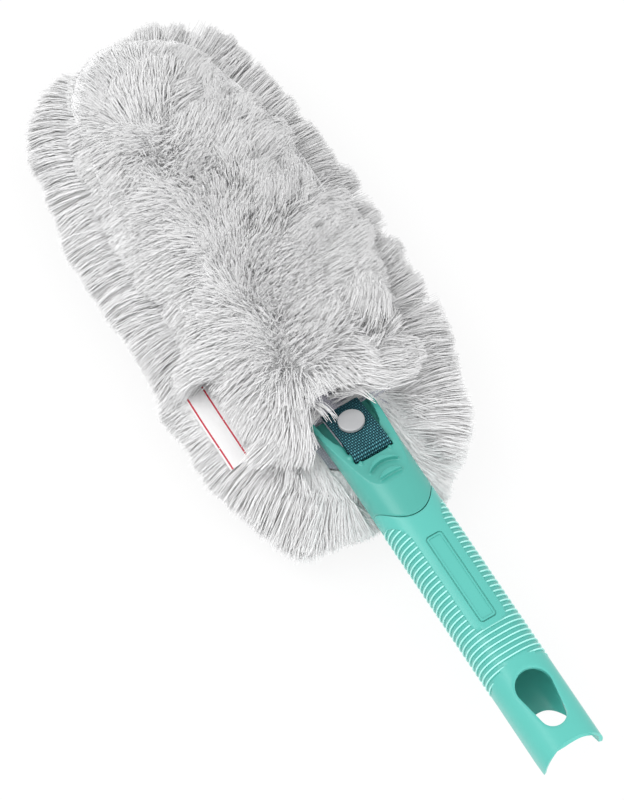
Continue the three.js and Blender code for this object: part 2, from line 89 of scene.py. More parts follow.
def placeCamera(s):
    turn, rise = math.radians(s["azimuth"]), math.radians(s["elevation"])
    right = Vector((math.cos(turn), math.sin(turn), 0))
    back = Vector((math.cos(rise) * math.sin(turn), -math.cos(rise) * math.cos(turn), math.sin(rise)))
    up = back.cross(right)
    data = bpy.data.cameras.new("camera")
    data.sensor_fit = "VERTICAL"
    data.sensor_height = 36
    data.lens = s["lens"]
    data.clip_end = 20
    camera = bring("camera", data)
    turned = Matrix((right, up, back)).transposed().to_4x4()
    camera.matrix_world = Matrix.Translation(Vector(s["aim"]) - right * s["slide"] + back * s["distance"]) @ turned
    scene.camera = camera
    return right, up


viewRight, viewUp = placeCamera(camSet)
print("camera placed")


# Working tools
def mode(kind):
    bpy.ops.object.mode_set(mode=kind)


def clearSelection():
    if bpy.context.object and bpy.context.object.mode != "OBJECT":
        mode("OBJECT")
    bpy.ops.object.select_all(action="DESELECT")


def pick(piece):
    clearSelection()
    piece.select_set(True)
    bpy.context.view_layer.objects.active = piece


def named(name):
    piece = bpy.context.object
    piece.name = name
    piece.data.name = name
    return piece


def settle(piece):  # the place goes into the mesh
    pick(piece)
    bpy.ops.object.transform_apply(location=True, rotation=True, scale=True)
    return piece


def add(name, shape, **values):
    clearSelection()
    shape(**values)
    return settle(named(name))


def editAll(piece):
    pick(piece)
    mode("EDIT")
    bpy.ops.mesh.select_all(action="SELECT")


def drawOut(move):
    bpy.ops.mesh.extrude_region_move(TRANSFORM_OT_translate={"value": move})


def finishWith(piece, kind, **values):
    pick(piece)
    mod = piece.modifiers.new(kind.title(), kind)
    for key, value in values.items():
        setattr(mod, key, value)
    bpy.ops.object.modifier_apply(modifier=mod.name)


def cut(piece, cutter, how="DIFFERENCE"):
    finishWith(piece, "BOOLEAN", operation=how, object=cutter, solver="EXACT")
    bpy.data.objects.remove(cutter)


def readPoints(piece):
    points = np.empty(len(piece.data.vertices) * 3)
    piece.data.vertices.foreach_get("co", points)
    return points.reshape(-1, 3)


def writePoints(piece, points):
    piece.data.vertices.foreach_set("co", np.ascontiguousarray(points, dtype=np.float32).ravel())
    piece.data.update()


def shapeTo(piece, x, y, z):
    writePoints(piece, toFrame(np.stack([x, y, z], 1)))


def facesOut(piece):
    editAll(piece)
    bpy.ops.mesh.remove_doubles(threshold=1e-6)
    bpy.ops.mesh.normals_make_consistent(inside=False)
    mode("OBJECT")


def remould(piece, grain, rounds):  # one even skin, smoothed
    finishWith(piece, "REMESH", mode="VOXEL", voxel_size=grain)
    finishWith(piece, "SMOOTH", factor=0.5, iterations=rounds)


def roundEdges(piece, width, segments, angle):
    finishWith(piece, "BEVEL", width=width * 0.001, segments=segments, limit_method="ANGLE",
               angle_limit=math.radians(angle))


def softEdges(piece, angle):
    pick(piece)
    bpy.ops.object.shade_smooth_by_angle(angle=math.radians(angle))


def choose(piece, kind, wanted):  # selects faces or edges in code, then goes to edit mode
    pick(piece)
    mode("EDIT")
    bpy.ops.mesh.select_mode(type=kind)
    bpy.ops.mesh.select_all(action="DESELECT")
    mode("OBJECT")
    for part in piece.data.polygons if kind == "FACE" else piece.data.edges:
        part.select = wanted(part)
    mode("EDIT")


def longTube(name, around, cuts):  # a capped tube with its rows of rings along y, shaped later
    piece = add(name, bpy.ops.mesh.primitive_cylinder_add, vertices=around, radius=0.015, depth=1,
                rotation=(math.pi / 2, 0, 0))
    for number in cuts:
        height = readPoints(piece)[:, 1]
        choose(piece, "EDGE", lambda edge: abs(height[edge.vertices[0]] - height[edge.vertices[1]]) > 1e-5)
        bpy.ops.mesh.subdivide(number_cuts=number)
        mode("OBJECT")
    points = readPoints(piece)
    return piece, points[:, 1] + 0.5, np.arctan2(points[:, 2], points[:, 0])


def grid(name, columns, rows):
    return add(name, bpy.ops.mesh.primitive_grid_add, x_subdivisions=columns, y_subdivisions=rows,
               size=2, calc_uvs=True)


def oval(angle, power):
    c, s = np.cos(angle), np.sin(angle)
    return np.sign(c) * np.abs(c) ** (2 / power), np.sign(s) * np.abs(s) ** (2 / power)


def prism(name, outline, low, high, place=spot):  # an outline drawn up into a block
    mesh = bpy.data.meshes.new(name)
    mesh.from_pydata([place(x, y, low) for x, y in outline], [], [list(range(len(outline)))])
    piece = bring(name, mesh)
    editAll(piece)
    drawOut(place(0, 0, high) - place(0, 0, low))
    mode("OBJECT")
    facesOut(piece)
    return piece


def strapBlock(name, width, along, out):  # a box in the strap's frame, as a cutter
    middle = strapSpot(0, sum(along) / 2, sum(out) / 2)
    size = Vector((width, along[1] - along[0], out[1] - out[0])) * 0.001
    return add(name, bpy.ops.mesh.primitive_cube_add, size=1, location=middle, rotation=(-strapTilt, 0, 0), scale=size)


def crossBar(name, radius, width):
    return add(name, bpy.ops.mesh.primitive_cylinder_add, vertices=48, radius=radius * 0.001, depth=width * 0.001,
               location=spot(0, barY, barZ), rotation=(0, math.pi / 2, 0))


def roundedOutline(width, near, far, corner, steps=6):
    middles = [(width / 2 - corner, far - corner), (corner - width / 2, far - corner),
               (corner - width / 2, near + corner), (width / 2 - corner, near + corner)]
    points = []
    for quarter, (x, y) in enumerate(middles):
        for k in range(steps + 1):
            angle = (quarter + k / steps) * math.pi / 2
            points.append((x + corner * math.cos(angle), y + corner * math.sin(angle)))
    return points


# Shader pieces that more than one finish uses
def wire(tree, source, target):  # a link, or a fixed value
    if isinstance(source, bpy.types.NodeSocket):
        tree.links.new(source, target)
    else:
        target.default_value = source


def fill(tree, node, **values):
    for title, value in values.items():
        wire(tree, value, node.inputs[title.replace("_", " ")])
    return node


def newNode(tree, kind, **values):
    return fill(tree, tree.nodes.new("ShaderNode" + kind), **values)


def splitAxes(tree, source):
    return newNode(tree, "SeparateXYZ", Vector=source).outputs


def sums(tree, kind, first, second=0.0):
    node = newNode(tree, "Math")
    node.operation = kind
    wire(tree, first, node.inputs[0])
    wire(tree, second, node.inputs[1])
    return node.outputs[0]


def makeGroup(name, inputs, outputs):
    tree = bpy.data.node_groups.new(name, "ShaderNodeTree")
    for title, kind, value in inputs:
        socket = tree.interface.new_socket(title, in_out="INPUT", socket_type=kind)
        if value is not None:
            socket.default_value = value
    for title, kind in outputs:
        tree.interface.new_socket(title, in_out="OUTPUT", socket_type=kind)
    return tree, tree.nodes.new("NodeGroupInput"), tree.nodes.new("NodeGroupOutput")


def makeThreadWeave():  # plain weave: threads cross over and under, one per unit of the vector
    tree, start, end = makeGroup(
        "threadWeave",
        [("Vector", "NodeSocketVector", None), ("Under", "NodeSocketFloat", 0.35)],
        [("Over", "NodeSocketFloat"), ("Height", "NodeSocketFloat")])
    waves, cells = [], []
    for axis in splitAxes(tree, start.outputs["Vector"])[:2]:
        waves.append(sums(tree, "SINE", sums(tree, "MULTIPLY", sums(tree, "FRACT", axis), math.pi)))
        cells.append(sums(tree, "FLOOR", axis))
    bump = sums(tree, "MULTIPLY", waves[0], waves[1])
    turn = sums(tree, "PINGPONG", sums(tree, "ADD", cells[0], cells[1]), 1.0)
    share = newNode(tree, "Mix", Factor=turn, A=start.outputs["Under"], B=1.0)
    over = sums(tree, "MULTIPLY", bump, share.outputs["Result"])
    fill(tree, end, Over=over, Height=sums(tree, "POWER", over, 0.6))
    return tree


def makeCloudyTone():  # slow drift of tone and a fine grain
    tree, start, end = makeGroup(
        "cloudyTone",
        [("Vector", "NodeSocketVector", None), ("Drift", "NodeSocketFloat", 60.0),
         ("Grain", "NodeSocketFloat", 2500.0)],
        [("Tone", "NodeSocketFloat"), ("Height", "NodeSocketFloat")])
    for title, wanted, detail in (("Drift", "Tone", 3), ("Grain", "Height", 2)):
        noise = newNode(tree, "TexNoise", Vector=start.outputs["Vector"], Scale=start.outputs[title], Detail=detail)
        wire(tree, noise.outputs["Fac"], end.inputs[wanted])
    return tree


threadWeave = makeThreadWeave()
cloudyTone = makeCloudyTone()


def newFinish(name, **fixed):
    material = bpy.data.materials.new(name)
    material.use_nodes = True
    tree = material.node_tree
    shader = tree.nodes["Principled BSDF"]
    return material, tree, fill(tree, shader, **fixed)


def coordinates(tree, kind, scale=(1, 1, 1)):
    source = newNode(tree, "TexCoord").outputs[kind]
    return newNode(tree, "Mapping", Vector=source, Scale=scale).outputs["Vector"]


def placeGroup(tree, group, **values):
    node = newNode(tree, "Group")
    node.node_tree = group
    return fill(tree, node, **values).outputs


def cloudy(tree, drift, grain):
    return placeGroup(tree, cloudyTone, Vector=coordinates(tree, "Object"), Drift=drift, Grain=grain)


def twoColours(tree, factor, low, high):
    mix = newNode(tree, "Mix", Factor=factor)
    mix.data_type = "RGBA"
    sockets = [socket for socket in mix.inputs if socket.type == "RGBA"]
    for socket, colour in zip(sockets, (low, high)):
        wire(tree, (*colour, 1) if isinstance(colour, tuple) else colour, socket)
    return [socket for socket in mix.outputs if socket.type == "RGBA"][0]


def ranged(tree, value, low, high):
    return newNode(tree, "MapRange", Value=value, To_Min=low, To_Max=high).outputs["Result"]


def roughen(tree, shader, height, distance, strength):
    bump = newNode(tree, "Bump", Strength=strength, Distance=distance, Height=height)
    fill(tree, shader, Normal=bump.outputs["Normal"])


def plasticFinish(name, low, high, rough, grain, crest=None):
    material, tree, shader = newFinish(name)
    cloud = cloudy(tree, 45.0, grain)
    colour = twoColours(tree, cloud["Tone"], low, high)
    if crest:  # painted highlight: the rib crests are painted paler to stand in for the light they catch
        paintedCrestLight = newNode(tree, "Attribute")
        paintedCrestLight.attribute_name = "crest"
        colour = twoColours(tree, paintedCrestLight.outputs["Fac"], colour, crest)
    fill(tree, shader, Base_Color=colour, Roughness=ranged(tree, cloud["Tone"], *rough))
    roughen(tree, shader, cloud["Height"], 0.00004, 0.25)
    return material


def wovenFinish(name, threads, low, high, rough, depth, under, kind="UV", sheen=0.2, gloss=0.5, paintedLightAlong=None):
    material, tree, shader = newFinish(name, Sheen_Weight=sheen, Sheen_Roughness=0.5, Specular_IOR_Level=gloss)
    weave = placeGroup(tree, threadWeave, Vector=coordinates(tree, kind, threads), Under=under)
    tone = ranged(tree, cloudy(tree, 120.0, 1800.0)["Tone"], 0.75, 1.25)
    shade = sums(tree, "MULTIPLY", weave["Over"], tone)
    if paintedLightAlong:  # painted light: the webbing is painted darker towards its free end and lighter towards the fold round the bar, where it catches the light
        along = splitAxes(tree, coordinates(tree, kind))[1]
        shade = sums(tree, "MULTIPLY", sums(tree, "POWER", shade, 2.0), ranged(tree, along, *paintedLightAlong))
    colour = twoColours(tree, shade, low, high)
    fill(tree, shader, Base_Color=colour, Roughness=ranged(tree, weave["Over"], *rough))
    roughen(tree, shader, weave["Height"], depth, 0.8)
    return material


def steelFinish(name, low, high, rough, metal):
    material, tree, shader = newFinish(name, Metallic=metal)
    cloud = cloudy(tree, 180.0, 3000.0)
    colour = twoColours(tree, cloud["Tone"], low, high)
    fill(tree, shader, Base_Color=colour, Roughness=ranged(tree, cloud["Height"], *rough))
    roughen(tree, shader, cloud["Height"], 0.00002, 0.15)
    return material


mintPlastic = plasticFinish("mintPlastic", (0.062, 0.352, 0.302), (0.070, 0.379, 0.325), (0.28, 0.34), 2600.0)
# painted light: the grip is the same plastic as the neck, painted lighter to stand in for the light on its ribs, and
# its last colour is the painted highlight on the rib crests
mintRibbedPaintedLight = plasticFinish(
    "mintRibbedPaintedLight", (0.082, 0.43, 0.375), (0.094, 0.463, 0.405), (0.28, 0.34), 2600.0, (0.38, 0.8, 0.74))
paddlePlastic = plasticFinish("paddlePlastic", (0.72, 0.72, 0.70), (0.78, 0.78, 0.76), (0.42, 0.5), 1800.0)
# the webbing's change of tone along its length is painted shade and painted light
tealWebbing = wovenFinish(
    "tealWebbing", (20, 34, 1), (0.002, 0.024, 0.034), (0.165, 0.52, 0.6), (0.8, 0.5), 0.0006, 0.7,
    sheen=0.0, gloss=0.12, paintedLightAlong=(0.22, 1.5))
lilacKnit = wovenFinish(
    "lilacKnit", (900, 900, 900), (0.54, 0.53, 0.61), (0.73, 0.72, 0.80), (0.95, 0.8), 0.0003, 0.6, "Object")
pearlSnap = steelFinish("pearlSnap", (0.375, 0.38, 0.39), (0.43, 0.435, 0.445), (0.3, 0.36), 0.25)
snapSteel = steelFinish("snapSteel", (0.55, 0.55, 0.56), (0.62, 0.62, 0.63), (0.28, 0.36), 1.0)
print("finishes made")


def paint(piece, material):
    piece.data.materials.clear()
    piece.data.materials.append(material)


def dress(piece, material, body, slot, *stands):
    paint(piece, material)
    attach(piece, body)
    if stands:
        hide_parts(*stands)


# Grip: ribs all round, a smooth panel in front and a plain end with the hanging hole
gripSet = dict(
    width=31.4, depth=29, power=2.5, wall=2.6, endWall=1.5, length=130, seamRise=13, seamPower=2.2, seamSink=0.4,
    ribStart=45.5, ribPitch=2.82, ribCount=32, ribTop=0.3, ribFoot=0.42, ribRaise=0.3, valley=0.45,
    archTop=46.3, archFall=4.6, panelNear=65.6, panelWidth=17.4, panelCorner=4.5, panelFlare=17, panelFar=135.7,
    frameNear=68.4, frameFar=117.4, frameWidth=9.2, frameCorner=2.0, frameLine=0.7, frameDepth=0.8,
    recess=1.5, recessCorner=0.8, recessDepth=0.45,
    holeNear=9.2, holeFar=39.6, holeCrown=8.9, holeFoot=6.3, lip=1.4, endCut=33, endCorner=3, endBow=4.2,
    endRows=(0, 42, 57), seamRows=(127, 160, 95))


def seamLine(across):
    share = np.minimum(1, np.abs(across) / (gripSet["width"] / 2)) ** gripSet["seamPower"]
    return gripSet["length"] + gripSet["seamRise"] * share


def beyondSeam(gap):
    across = np.linspace(-30, 30, 121)
    outline = [(x, float(seamLine(x)) + gap) for x in across] + [(30, 400), (-30, 400)]
    return prism("beyondSeam", outline, 0, 90)


def holeDistance(x, y, s):  # how far a point of the front wall is from the egg-shaped hole
    low, top = s["holeFoot"], s["holeCrown"]
    span = s["holeFar"] - s["holeNear"] - low - top
    px, py = np.abs(x), y - s["holeNear"] - low
    b = (low - top) / span
    a = math.sqrt(1 - b * b)
    along = -b * px + a * py
    return np.where(along < 0, np.hypot(px, py) - low,
                    np.where(along > a * span, np.hypot(px, py - span) - top, a * px + b * py - low))


def handleTube(name, around, rows, offset, s):  # rings of the handle's section, moved out by an offset
    cuts = (len(rows) - 2,) if len(rows) < 100 else (2, (len(rows) - 1) // 3 - 1)
    piece, share, angle = longTube(name, around, cuts)
    y = rows[np.rint(share * (len(rows) - 1)).astype(int)]
    across, out = oval(angle, s["power"])
    grow = offset(across * s["width"] / 2, y, out)
    ends = (s["endBow"] * across ** 2 - 0.8) * np.clip(1 - y / 12, 0, 1)
    shapeTo(piece, across * (s["width"] / 2 + grow), y - ends, handleZ + out * (s["depth"] / 2 + grow))
    facesOut(piece)
    return piece


def ribShare(x, y, out, s):  # 1 where the ribs are, 0 on the plain end, the panel and the band by the neck
    half, corner = s["panelWidth"] / 2, s["panelCorner"]
    half = half + np.clip((y - s["panelFar"]) / s["panelFlare"] + 1, 0, 1) ** 2 * (s["width"] / 2 + 2 - half)
    qx, qy = np.abs(x) - half + corner, s["panelNear"] + corner - y
    gap = np.hypot(np.maximum(qx, 0), np.maximum(qy, 0)) + np.minimum(np.maximum(qx, qy), 0) - corner
    fall = np.where(out > 0, np.minimum(1, 2 * np.abs(x) / s["width"]) ** 2.4, 1)
    beyond = smooth(0, 0.3, y - s["archTop"] + s["archFall"] * fall)
    return np.where(out > 0, smooth(0, 0.4, gap), 1) * beyond * smooth(0, 0.3, s["panelFar"] - y)


def makeGrip(s):
    ribs = s["ribStart"] + s["ribPitch"] * np.arange(-1, s["ribCount"])
    edges = (ribs[:, None] + np.array([-s["ribFoot"], -s["ribTop"], s["ribTop"], s["ribFoot"]])).ravel()
    rows = np.concatenate([np.linspace(*s["endRows"]), edges, np.linspace(*s["seamRows"])])
    rows = np.unique(np.round(rows, 3))
    rows = np.append(rows, rows[-1] + 0.5 + np.arange(-(len(rows) - 1) % 3))

    def skin(x, y, out):  # ribs, a softened rim at the hole and a line along the seam
        offRib = np.abs(y[:, None] - ribs[None, :]).min(1)
        crest = np.clip((s["ribFoot"] - offRib) / (s["ribFoot"] - s["ribTop"]), 0, 1)
        atHole = np.where(out > 0, 0.7 * np.clip(1 - holeDistance(x, y, s) / s["lip"], 0, 1) ** 2, 0)
        atSeam = s["seamSink"] * np.clip(1 - np.abs(y - seamLine(x)) / 1.1, 0, 1) ** 2
        return ribShare(x, y, out, s) * (crest * (s["valley"] + s["ribRaise"]) - s["valley"]) - atHole - atSeam

    piece = handleTube("grip_moulded", 200, rows, skin, s)
    thin = lambda x, y, out: -np.interp(y, (0, 9), (s["endWall"], s["wall"]))
    cut(piece, handleTube("bore", 96, np.array((-15.0, 0.0, 9.0, 60.0, 175.0)), thin, s))
    wedge = add("slant", bpy.ops.mesh.primitive_cube_add, size=0.1, location=(0, -0.05, -0.1), scale=(2, 3, 2))
    slope = math.atan2(s["depth"] / 2 - s["endCorner"], s["endCut"])  # the slanted underside of the end
    wedge.matrix_world = Matrix.Translation(spot(0, 0, handleZ - s["endCorner"])) @ Matrix.Rotation(-slope, 4, "X")
    cut(piece, settle(wedge))
    low, top = s["holeFoot"], s["holeCrown"]
    lean = math.asin((top - low) / (s["holeFar"] - s["holeNear"] - low - top))
    egg = [(top * math.cos(a), s["holeFar"] - top + top * math.sin(a)) for a in np.linspace(-lean, math.pi + lean, 40)]
    egg += [(low * math.cos(a), s["holeNear"] + low + low * math.sin(a))
            for a in np.linspace(math.pi + lean, 2 * math.pi - lean, 32)]
    cut(piece, prism("hangHole", egg, handleZ, 80))

    def framed(inset, corner):
        return roundedOutline(s["frameWidth"] - 2 * inset, s["frameNear"] + inset, s["frameFar"] - inset, corner)

    outer = prism("frameLine", framed(0, s["frameCorner"]), handleTop - s["frameDepth"], 60)
    cut(outer, prism("frameMiddle", framed(s["frameLine"], s["frameCorner"] - s["frameLine"]), 50, 70))
    cut(piece, outer)
    cut(piece, prism("frameRecess", framed(s["recess"], s["recessCorner"]), handleTop - s["recessDepth"], 60))
    cut(piece, beyondSeam(0))
    softEdges(piece, 35)
    points, power = readPoints(piece) * 1000, s["power"]
    reach = np.abs(points[:, 0] * 2 / s["width"]) ** power + np.abs((points[:, 2] - handleZ) * 2 / s["depth"]) ** power
    # crest marks the rib tops, which the grip's finish paints paler as a painted highlight
    crest = np.clip((reach ** (1 / power) - 1) * 15 / s["ribRaise"], 0, 1)
    piece.data.attributes.new("crest", "FLOAT", "POINT").data.foreach_set("value", crest.astype(np.float32))
    return piece


grip = makeGrip(gripSet)
dress(grip, mintRibbedPaintedLight, "handle", "handle_plastic", "grip")
print("grip:", len(grip.data.polygons), "faces")

# Neck: sloping thumb face with two raised crescents, then the pocket for the strap and the cover's tab
neckSet = dict(
    near=128, far=199.4, endWidth=34, endDepth=12.0, taper=32, hollow=1.0,
    spigotNear=104, spigotLength=44, spigotInset=2.9,
    troughWidth=20.8, seatFloor=0.4, pocketFloor=-4.0,
    pocketSide=((10.4, 8.5), (12.4, 12), (13.9, 18), (14.5, 25), (14.5, 40)),
    barRadius=2, channelRadius=4.7, grain=0.0004, slotHeight=31.5, slotSize=(0.0186, 0.0466, 0.0026),
    crescents=((10.4, 15.6, 5.2), (4.2, 11.8, 3.0)), crescentWidth=2.3, crescentHeight=2.6,
    bossPlace=(8.0, 18.3), bossSize=(0.8, 1.7, 1.3))


def makeCrescent(near, span, rise, s):
    t = np.linspace(-1, 1, 25)
    bow = [(x * span / 2, near + rise * (1 - x * x)) for x in t]
    bow += [(x * span / 2, near + (rise - s["crescentWidth"]) * (1 - x * x) - 0.4) for x in t[::-1]]
    return prism("crescent", bow, -3, s["crescentHeight"] - s["hollow"], faceSpot)


def makeNeck(s):
    piece, share, angle = longTube("neck_moulded", 160, (69,))
    y = s["near"] + share * (s["far"] - s["near"])
    across, out = oval(angle, gripSet["power"])
    swell = smooth(0, 1, (y - s["far"] + s["taper"]) / s["taper"])
    half = gripSet["width"] / 2 + swell * (s["endWidth"] - gripSet["width"]) / 2
    drop = np.clip((y - s["far"] + s["taper"]) / s["taper"], 0, 1)
    foot = gripSet["depth"] / 2 + drop * (s["endDepth"] - gripSet["depth"] / 2)
    shapeTo(piece, across * half, y, handleZ + out * np.where(out > 0, gripSet["depth"] / 2, foot))
    facesOut(piece)
    cut(piece, beyondSeam(0.45), "INTERSECT")
    scoop = grid("scoop", 30, 60)  # everything over the thumb face
    flat = readPoints(scoop)
    x, y = flat[:, 0] * 22, faceStart + (flat[:, 1] + 1) * 30
    dip = s["hollow"] * smooth(0, 7, y - faceStart) * np.clip(1 - (np.abs(x) / 12.5) ** 4, 0, 1)
    shapeTo(scoop, x, y, faceHeight(y) - dip)
    editAll(scoop)
    drawOut((0, 0, 0.04))
    mode("OBJECT")
    facesOut(scoop)
    cut(piece, scoop)
    for near, span, rise in s["crescents"]:
        cut(piece, makeCrescent(near, span, rise, s), "UNION")
    spigot, share, angle = longTube("spigot", 64, (2,))
    across, out = oval(angle, gripSet["power"])
    wide, deep = gripSet["width"] / 2 - s["spigotInset"], gripSet["depth"] / 2 - s["spigotInset"]
    shapeTo(spigot, across * wide, s["spigotNear"] + share * s["spigotLength"], handleZ + out * deep)
    facesOut(spigot)
    cut(piece, spigot, "UNION")
    cut(piece, crossBar("channel", s["channelRadius"], s["troughWidth"]))
    cut(piece, strapBlock("seat", s["troughWidth"], (0, 60), (s["seatFloor"], 40)))
    side = s["pocketSide"]
    cut(piece, prism("pocket", list(side) + [(-x, along) for x, along in side[::-1]], s["pocketFloor"], 40, strapSpot))
    cut(piece, crossBar("bar", s["barRadius"], s["troughWidth"] + 2), "UNION")
    for turn in (-1, 1):  # small bosses that hold the bar
        x, along = s["bossPlace"]
        cut(piece, add("boss", bpy.ops.mesh.primitive_uv_sphere_add, segments=24, ring_count=12, radius=0.001,
                       location=faceSpot(turn * x, along, -s["hollow"]), rotation=(-strapTilt, 0, 0),
                       scale=s["bossSize"]), "UNION")
    cut(piece, add("tangSlot", bpy.ops.mesh.primitive_cube_add, size=1, location=spot(0, 200, s["slotHeight"]),
                   scale=s["slotSize"]))
    remould(piece, s["grain"], 2)
    pick(piece)
    bpy.ops.object.shade_smooth()
    return piece


neck = makeNeck(neckSet)
dress(neck, mintPlastic, "handle", "handle_plastic", "neck")
paint(nodes["paddle"], paddlePlastic)
print("neck:", len(neck.data.polygons), "faces")

# Strap: webbing folded round the bar, its tail sewn back under the flap
strapSet = dict(width=20, thick=1.3, middle=2.95, flap=27.8, tail=9.0, snapAlong=16)


def strapPath(s):  # (along, out) points from the free end, round the bar, to the tail
    r = s["middle"]
    points = [(a, r) for a in np.linspace(s["flap"], 0, 40)]
    points += [(r * math.cos(a), r * math.sin(a)) for a in np.linspace(math.pi / 2, 2 * math.pi - 0.5, 44)[1:]]
    last = points[-1]
    under = r - s["thick"] - 0.05
    for t in np.linspace(0, 1, 16)[1:]:
        points.append((last[0] + (s["tail"] - last[0]) * t, last[1] + (under - last[1]) * (1 - (1 - t) ** 3)))
    return np.array(points)


def ribbonAlong(name, path, width, thick, columns=20, rows=96):
    piece = grid(name, columns, rows)
    flat = readPoints(piece)
    lengths = np.concatenate([[0], np.cumsum(np.linalg.norm(np.diff(path, axis=0), axis=1))])
    at = (flat[:, 1] + 1) / 2 * lengths[-1]
    along = np.interp(at, lengths, path[:, 0])
    out = np.interp(at, lengths, path[:, 1])
    x = flat[:, 0] * width / 2
    out = out + 0.06 * np.sin(x * 0.9 + at * 0.35)  # webbing is never quite flat
    writePoints(piece, np.array([strapSpot(*p) for p in zip(x, along, out)]))
    finishWith(piece, "SOLIDIFY", thickness=thick * 0.001, offset=0)
    roundEdges(piece, 0.35, 2, 60)
    softEdges(piece, 50)
    return piece


strap = ribbonAlong("strap_webbing", strapPath(strapSet), strapSet["width"], strapSet["thick"])
dress(strap, tealWebbing, "strap", "webbing", "strap")

# Snap cap: a flat disc with a rolled rim
capSet = dict(radius=6.5, foot=3.75, height=2.0, rims=(0.7, 2.5), dish=0.12, shank=1.2, shankFoot=1.3)


def makeCap(s):
    piece = add("snap_cap_pearl", bpy.ops.mesh.primitive_cylinder_add, vertices=72, radius=s["radius"] * 0.001,
                depth=s["height"] * 0.001)
    choose(piece, "FACE", lambda face: face.normal.z > 0.9)
    for inset in s["rims"]:
        bpy.ops.mesh.inset(thickness=inset * 0.001)
        bpy.ops.transform.translate(value=(0, 0, s["dish"] * 0.001))
    mode("OBJECT")
    choose(piece, "FACE", lambda face: face.normal.z < -0.9)
    bpy.ops.mesh.inset(thickness=(s["radius"] - s["shank"]) * 0.001)
    drawOut((0, 0, (s["shankFoot"] - s["foot"]) * 0.001))
    mode("OBJECT")
    roundEdges(piece, 0.45, 4, 50)
    piece.location = strapSpot(0, strapSet["snapAlong"], s["foot"] + s["height"] / 2)
    piece.rotation_euler = (-strapTilt, 0, 0)
    settle(piece)
    softEdges(piece, 40)
    return piece


cap = makeCap(capSet)
dress(cap, pearlSnap, "strap", "snap_metal", "snap_cap")
for name in ("snap_socket", "snap_stud", "snap_post"):
    paint(nodes[name], snapSteel)
print("strap and snap done")

# Cover cloth: the front panel turned down at its sides, the back panel and the tab
coverSet = dict(half=37.0, near=175.0, far=410.0, middle=292.5, reach=117.5, mouth=200.2, power=2.6,
                frontZ=34.5, backZ=29.5, backLift=0.7, turnDown=4.6, openTo=214.5, thick=1.2,
                neckTaper=(165, 197), neckGap=0.3, level=(197, 213))
tabSet = dict(width=18.6, thick=1.2, near=8.0, far=28.8, out=-2.25)


def clothHalf(y, s=coverSet):
    end = np.abs((y - s["middle"]) / s["reach"]) ** s["power"]
    return s["half"] * np.maximum(0, 1 - end) ** (1 / s["power"])


def rimShare(x, y, s=coverSet):  # 0 in the middle of the cloth, 1 at its edge
    across, along = np.abs(x) / s["half"], np.abs(y - s["middle"]) / s["reach"]
    return (across ** s["power"] + along ** s["power"]) ** (1 / s["power"])


def backTop(y, s=coverSet):  # the back panel dips to pass under the neck
    deep, (near, far) = gripSet["depth"] / 2, s["neckTaper"]
    foot = handleZ - (deep + np.clip((y - near) / (far - near), 0, 1) * (neckSet["endDepth"] - deep)) - s["neckGap"]
    top, blend = s["backZ"] + s["backLift"], smooth(*s["level"], y)
    return np.minimum(top, foot) * (1 - blend) + top * blend


def ovalCloth(name, near, far, height):
    piece = grid(name, 36, 110)
    flat = readPoints(piece)
    y = near + (far - near) * (flat[:, 1] + 1) / 2
    x = flat[:, 0] * clothHalf(y)
    pucker = 0.25 * np.sin(y * 0.55 + x * 0.2) * np.abs(flat[:, 0]) ** 3
    shapeTo(piece, x, y, height(y) + pucker)
    return piece


def clothArea(piece):
    return sum(face.area for face in piece.data.polygons)


def thicken(piece, thick, angle):
    finishWith(piece, "SOLIDIFY", thickness=thick * 0.001, offset=0)
    softEdges(piece, angle)


def makeFrontCloth(s):
    piece = ovalCloth("cover_front_cloth", s["mouth"], s["far"] - 0.4, lambda y: s["frontZ"] + 0 * y)
    along = readPoints(piece)[:, 1] * 1000 + midLength
    faces = Counter(key for face in piece.data.polygons for key in face.edge_keys)
    choose(piece, "EDGE", lambda edge: faces[edge.key] == 1 and along[list(edge.vertices)].mean() > s["openTo"])
    bpy.ops.mesh.extrude_edges_move(TRANSFORM_OT_translate={"value": (0, 0, -s["turnDown"] * 0.001)})
    mode("OBJECT")
    area = clothArea(piece)
    facesOut(piece)
    thicken(piece, s["thick"], 55)
    return piece, area


def makeBackCloth(s):
    piece = ovalCloth("cover_back_cloth", s["near"] + 0.4, s["far"] - 0.4, lambda y: backTop(y) - s["backLift"])
    area = clothArea(piece)
    thicken(piece, s["thick"], 55)
    return piece, area


frontCloth, frontArea = makeFrontCloth(coverSet)
dress(frontCloth, lilacKnit, "cover", "base_fabric", "cover_front_panel", "cover_side_band")
backCloth, backArea = makeBackCloth(coverSet)
dress(backCloth, lilacKnit, "cover", "base_fabric", "cover_back_panel")
tabPath = np.array([(a, tabSet["out"]) for a in np.linspace(tabSet["near"], tabSet["far"], 20)])
tab = ribbonAlong("cover_tab_cloth", tabPath, tabSet["width"], tabSet["thick"], 16, 24)
dress(tab, lilacKnit, "cover", "base_fabric", "cover_tab")
print("cover cloth done")

# Side label: bare white satin with a plain red thread along each long edge
labelSet = dict(rootX=-37.5, near=202.6, width=21.0, length=44.0, rootZ=34.6, tilt=math.radians(8), thick=0.4,
                stripeMiddle=0.27, stripeOut=0.21, stripeHalf=0.02)


